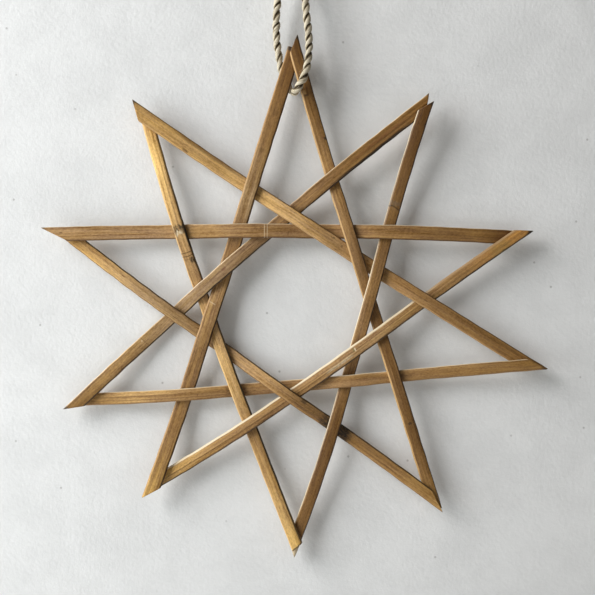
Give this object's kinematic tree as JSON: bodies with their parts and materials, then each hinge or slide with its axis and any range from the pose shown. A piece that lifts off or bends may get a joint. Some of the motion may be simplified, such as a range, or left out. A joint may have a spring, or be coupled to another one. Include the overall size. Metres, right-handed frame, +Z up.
{
  "type": "bamboo star ornament",
  "caption": "Flat star of bamboo strips woven over and under each other, joined at the tips, hung on a loop of twisted cord.",
  "frame": {"origin": "the place in the cord's loop, just below its knot, that hangs on a nail", "axes": "+Z up, +Y towards the wall, so the star's front faces -Y"},
  "size_m": [0.4851, 0.0286, 0.6089],
  "materials": {
    "bamboo_honey": "bare split bamboo, light honey, satin",
    "bamboo_tan": "bare split bamboo, tan, satin",
    "bamboo_brown": "bare split bamboo, darkened brown, satin",
    "cord": "twisted natural plant fibre, matt and hairy"
  },
  "bodies": {
    "root": {"bamboo_strip_01": "bamboo_brown", "bamboo_strip_02": "bamboo_brown", "bamboo_strip_03": "bamboo_tan", "bamboo_strip_04": "bamboo_tan", "bamboo_strip_05": "bamboo_honey", "bamboo_strip_06": "bamboo_honey", "bamboo_strip_07": "bamboo_brown", "bamboo_strip_08": "bamboo_brown", "bamboo_strip_09": "bamboo_tan", "bamboo_strip_10": "bamboo_honey", "hanging_cord": "cord", "cord_knot": "cord"}
  },
  "joints": []
}
